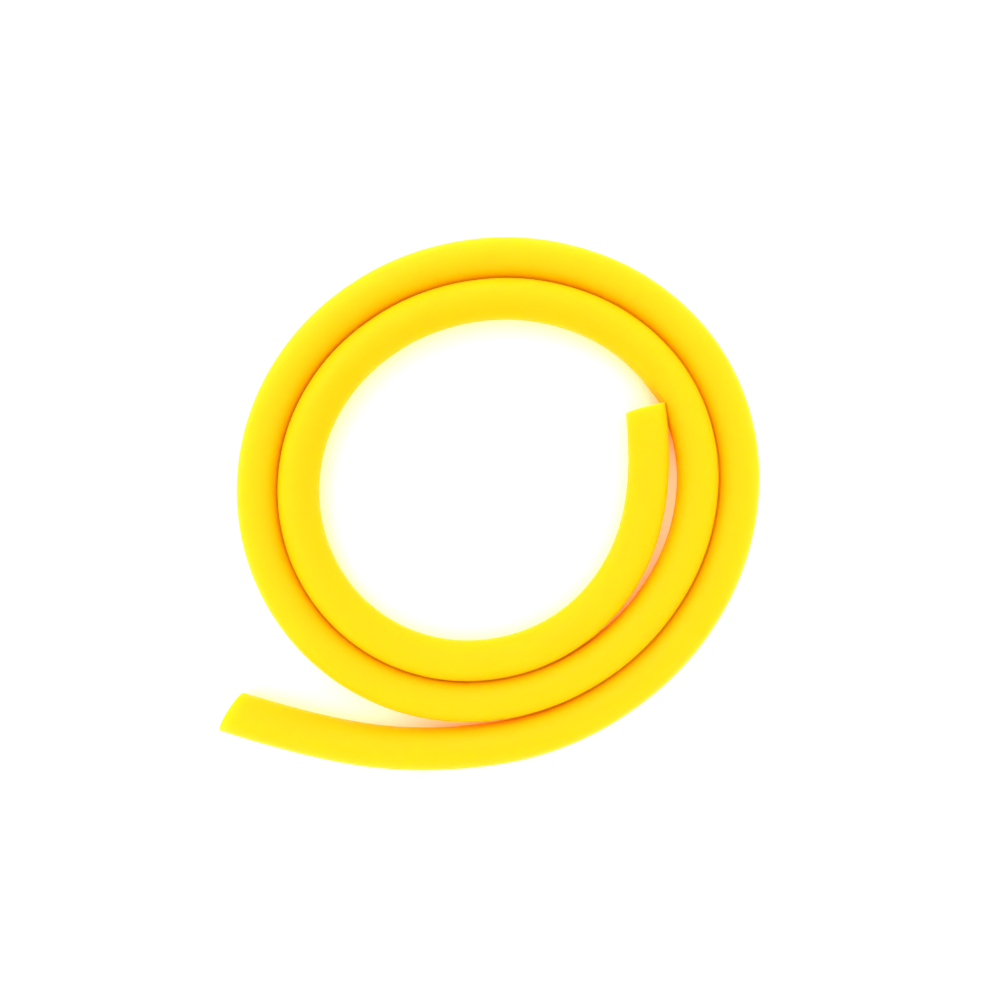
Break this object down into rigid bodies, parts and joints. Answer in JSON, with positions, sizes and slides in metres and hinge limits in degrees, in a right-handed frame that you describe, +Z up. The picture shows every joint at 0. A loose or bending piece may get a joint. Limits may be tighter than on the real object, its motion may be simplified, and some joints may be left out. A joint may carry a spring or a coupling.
{
  "type": "coiled latex rubber tubing",
  "caption": "Length of soft natural latex rubber tubing, cut at both ends and laid flat in a loose spiral of two and a half turns.",
  "frame": {"origin": "on the surface the coil lies on, under the middle of its outline", "axes": "+Z up, out of the flat coil; +X towards the side where the coil's inner end lies, +Y away from the side where the outer end leaves the coil"},
  "size_m": [0.1609, 0.1593, 0.012],
  "materials": {
    "latex": "satin"
  },
  "bodies": {
    "root": {"inner_tail": "latex", "coil": "latex", "outer_tail": "latex"}
  },
  "joints": []
}
